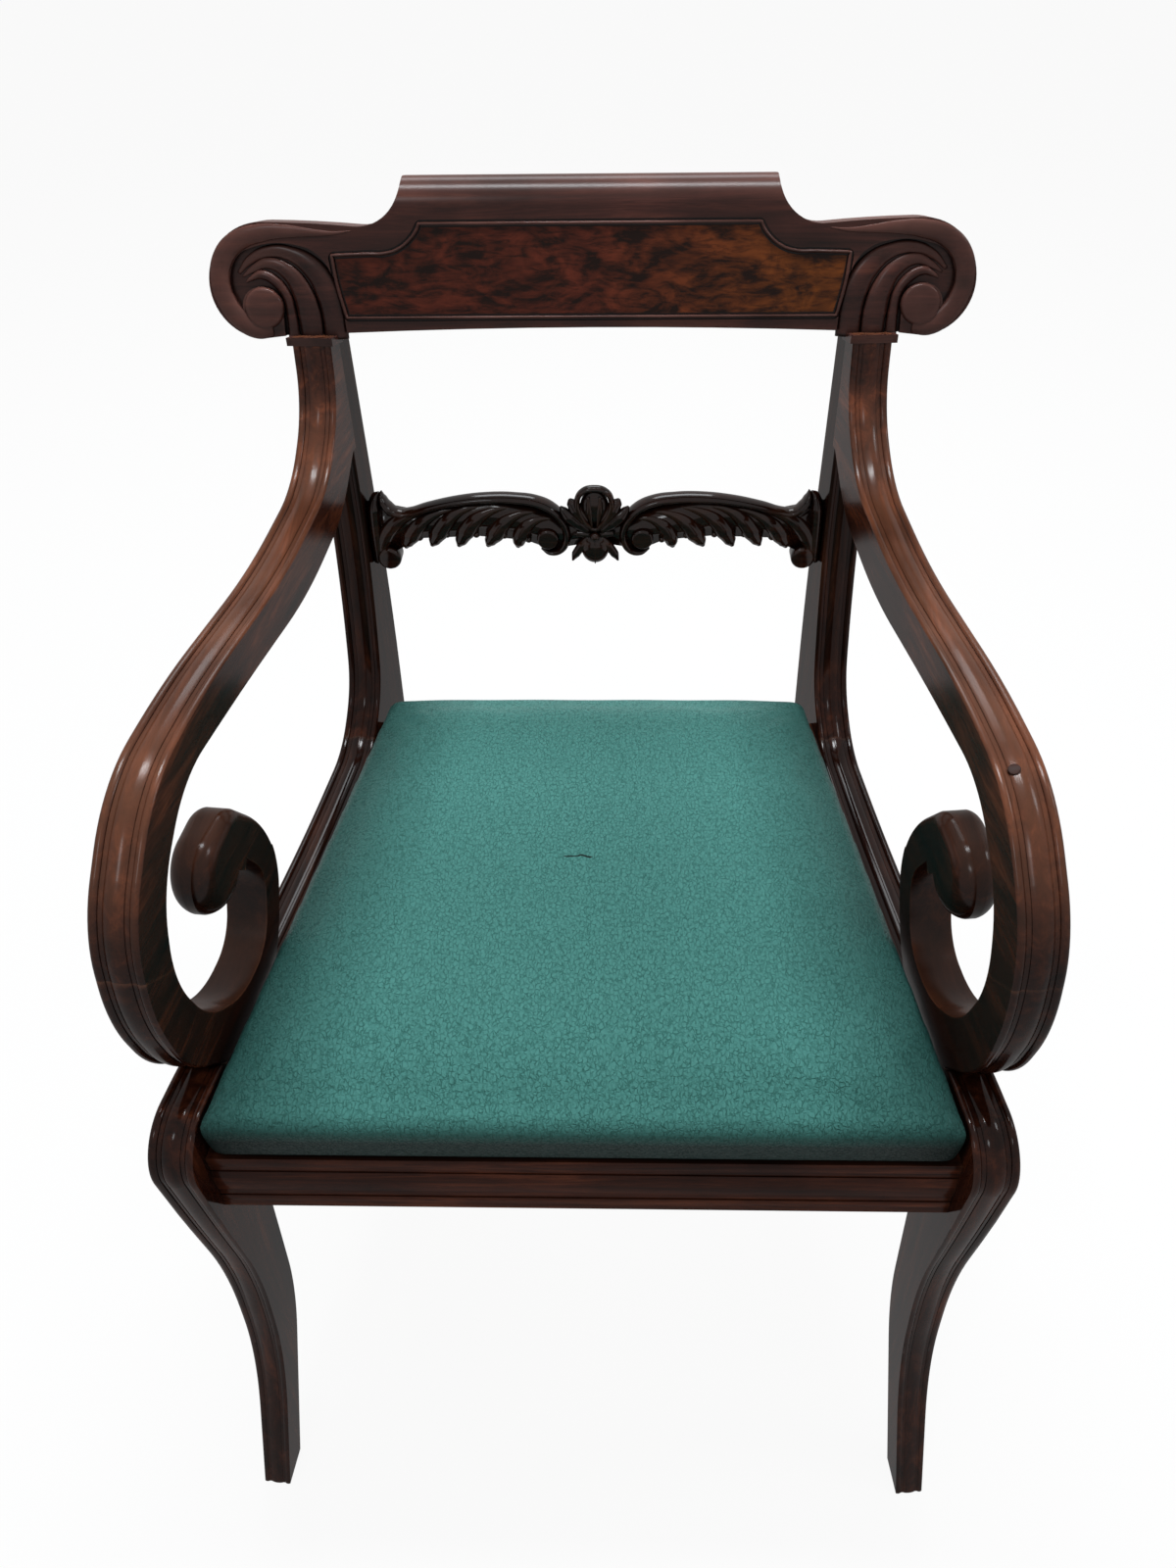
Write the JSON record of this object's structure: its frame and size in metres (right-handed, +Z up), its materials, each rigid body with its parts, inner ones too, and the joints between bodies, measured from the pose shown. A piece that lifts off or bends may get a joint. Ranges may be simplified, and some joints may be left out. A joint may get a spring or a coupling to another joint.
{
  "type": "wooden elbow chair",
  "caption": "Wooden elbow chair with sabre legs, scrolled arms, a shaped crest over a carved middle rail, and an upholstered seat that lifts out.",
  "frame": {"origin": "on the floor under the middle of the chair", "axes": "+Z up, the front of the chair faces -Y, +X to the right as seen from the front"},
  "size_m": [0.574, 0.6067, 0.872],
  "materials": {
    "mahogany": "polished, worn",
    "flame_veneer": "polished flame figure",
    "beech": "bare",
    "leathercloth": "grained, soft sheen",
    "stuffing": "felted",
    "webbing": "woven",
    "hessian": "woven",
    "bottoming": "matt cloth",
    "steel": "plain"
  },
  "bodies": {
    "chair_frame": {"arm_dowels": "beech", "arm_joint_dowels": "beech", "arm_screws": "steel", "back_rail": "mahogany", "corner_block_screws": "steel", "crest_bead": "mahogany", "crest_panel": "flame_veneer", "crest_rail": "mahogany", "front_rail": "mahogany", "left_arm": "mahogany", "left_arm_scroll": "mahogany", "left_back_block": "beech", "left_back_post": "mahogany", "left_collar": "mahogany", "left_front_block": "beech", "left_front_leg": "mahogany", "left_side_rail": "mahogany", "mid_rail": "mahogany", "right_arm": "mahogany", "right_arm_scroll": "mahogany", "right_back_block": "beech", "right_back_post": "mahogany", "right_collar": "mahogany", "right_front_block": "beech", "right_front_leg": "mahogany", "right_side_rail": "mahogany", "screw_pellets": "mahogany"},
    "drop_in_seat": {"seat_back_member": "beech", "seat_bottoming": "bottoming", "seat_cover": "leathercloth", "seat_front_member": "beech", "seat_hessian": "hessian", "seat_left_member": "beech", "seat_right_member": "beech", "seat_stuffing": "stuffing", "seat_tacks": "steel", "seat_webbing_cross": "webbing", "seat_webbing_long": "webbing"}
  },
  "joints": [
    {"name": "seat_lift", "type": "slide", "parent": "chair_frame", "child": "drop_in_seat", "axis": [0, 0, 1], "range_m": [0, 0.47]}
  ]
}
